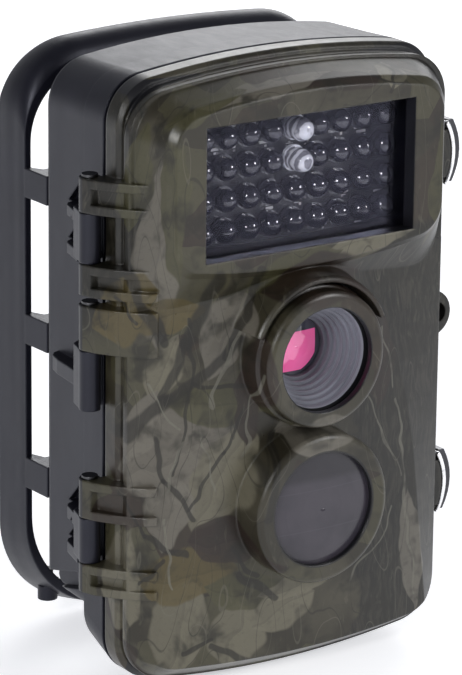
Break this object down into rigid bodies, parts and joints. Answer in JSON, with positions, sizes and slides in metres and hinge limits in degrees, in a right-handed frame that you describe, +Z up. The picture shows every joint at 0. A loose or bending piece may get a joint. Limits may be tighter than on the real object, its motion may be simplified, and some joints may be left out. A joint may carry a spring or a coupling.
{
  "type": "trail camera",
  "caption": "Weatherproof trail camera with an infrared lamp window, hooded lens, motion sensor, hinged front with side latches and a strap bracket behind.",
  "frame": {"origin": "centre of the bounding box in X and Y, at the height of its lowest point", "axes": "+Z up from the base, +X across the front towards the latches, +Y from the lens to the strap bracket"},
  "size_m": [0.0936, 0.0678, 0.135],
  "materials": {
    "camo_shell": "satin printed camouflage film on moulded plastic",
    "black_shell": "fine-textured black moulded plastic",
    "steel": "plain steel",
    "spring_steel": "bright nickel-plated wire",
    "nickel": "nickel-plated strip",
    "brass": "turned brass",
    "rubber": "soft black rubber",
    "clear_plastic": "clear polycarbonate",
    "led_black": "infrared-pass black epoxy",
    "led_clear": "clear epoxy",
    "dark_plate": "dark blue-black moulded plastic",
    "grey_baffle": "grey moulded plastic",
    "lens_glass": "coated glass with a magenta reflection",
    "optical_glass": "coated optical glass",
    "pir_film": "dark translucent polyethylene lens",
    "circuit_board": "green solder mask",
    "chip_black": "moulded epoxy",
    "tinned": "tinned sheet",
    "sensor": "silicon under cover glass",
    "lcd": "dark display glass",
    "key_rubber": "grey moulded rubber",
    "cell_wrap": "printed film over a metal can",
    "card": "black memory card",
    "latch_plastic": "smooth dark moulded plastic",
    "white_plastic": "white moulded plastic"
  },
  "bodies": {
    "case": {"rear_case": "black_shell", "strap_bracket": "black_shell", "bracket_screws": "steel", "tripod_insert": "brass", "dc_jack": "chip_black", "battery_tray": "black_shell", "aa_cells": "cell_wrap", "battery_springs": "spring_steel", "battery_contacts": "nickel", "latch_pins": "steel", "hinge_pin_upper": "steel", "hinge_pin_middle": "steel", "hinge_pin_lower": "steel"},
    "door": {"front_cover": "camo_shell", "door_seal": "rubber", "led_window": "clear_plastic", "led_plate": "dark_plate", "ir_leds": "led_black", "clear_leds": "led_clear", "led_board": "dark_plate", "lens_baffle": "grey_baffle", "lens_glass": "lens_glass", "lens_element": "optical_glass", "lens_barrel": "chip_black", "lens_holder": "chip_black", "image_sensor": "sensor", "pir_window": "pir_film", "pir_funnel": "dark_plate", "pir_sensor": "tinned", "main_board": "circuit_board", "board_screws": "steel", "board_chips": "chip_black", "microphone": "tinned", "speaker": "chip_black", "sd_slot": "tinned", "sd_card": "card", "usb_port": "tinned", "key_switches": "chip_black", "slide_switch": "tinned", "inner_panel": "black_shell", "panel_screws": "steel", "lcd_window": "clear_plastic", "lcd_screen": "lcd"},
    "upper_latch": {"latch_upper": "latch_plastic", "wire_upper": "spring_steel"},
    "lower_latch": {"latch_lower": "latch_plastic", "wire_lower": "spring_steel"},
    "port_flap": {"port_cover": "rubber"},
    "switch_knob": {"power_switch": "white_plastic"},
    "key_up": {"key_up": "key_rubber"},
    "key_down": {"key_down": "key_rubber"},
    "key_left": {"key_left": "key_rubber"},
    "key_right": {"key_right": "key_rubber"},
    "key_ok": {"key_ok": "key_rubber"},
    "key_menu": {"key_menu": "key_rubber"},
    "key_view": {"key_view": "key_rubber"}
  },
  "joints": [
    {"name": "door_hinge", "type": "hinge", "parent": "case", "child": "door", "pos_m": [-0.04457, -0.0097, 0.068], "axis": [0, 0, -1], "range_deg": [0, 150]},
    {"name": "upper_latch_pivot", "type": "hinge", "parent": "case", "child": "upper_latch", "pos_m": [0.04303, 0.0003, 0.1068], "axis": [0, 0, 1], "range_deg": [0, 100]},
    {"name": "lower_latch_pivot", "type": "hinge", "parent": "case", "child": "lower_latch", "pos_m": [0.04303, 0.0003, 0.0321], "axis": [0, 0, 1], "range_deg": [0, 100]},
    {"name": "port_flap_hinge", "type": "hinge", "parent": "case", "child": "port_flap", "pos_m": [0.02442, 0.0101, 0.01185], "axis": [1, 0, 0], "range_deg": [0, 100]},
    {"name": "switch_slide", "type": "slide", "parent": "door", "child": "switch_knob", "axis": [0, 0, 1], "range_m": [0, 0.006]},
    {"name": "key_up_press", "type": "slide", "parent": "door", "child": "key_up", "axis": [0, -1, 0], "range_m": [0, 0.0005], "stiffness_N_per_m": 800, "springref_m": -0.0002},
    {"name": "key_down_press", "type": "slide", "parent": "door", "child": "key_down", "axis": [0, -1, 0], "range_m": [0, 0.0005], "stiffness_N_per_m": 800, "springref_m": -0.0002},
    {"name": "key_left_press", "type": "slide", "parent": "door", "child": "key_left", "axis": [0, -1, 0], "range_m": [0, 0.0005], "stiffness_N_per_m": 800, "springref_m": -0.0002},
    {"name": "key_right_press", "type": "slide", "parent": "door", "child": "key_right", "axis": [0, -1, 0], "range_m": [0, 0.0005], "stiffness_N_per_m": 800, "springref_m": -0.0002},
    {"name": "key_ok_press", "type": "slide", "parent": "door", "child": "key_ok", "axis": [0, -1, 0], "range_m": [0, 0.0005], "stiffness_N_per_m": 800, "springref_m": -0.0002},
    {"name": "key_menu_press", "type": "slide", "parent": "door", "child": "key_menu", "axis": [0, -1, 0], "range_m": [0, 0.0005], "stiffness_N_per_m": 800, "springref_m": -0.0002},
    {"name": "key_view_press", "type": "slide", "parent": "door", "child": "key_view", "axis": [0, -1, 0], "range_m": [0, 0.0005], "stiffness_N_per_m": 800, "springref_m": -0.0002}
  ]
}
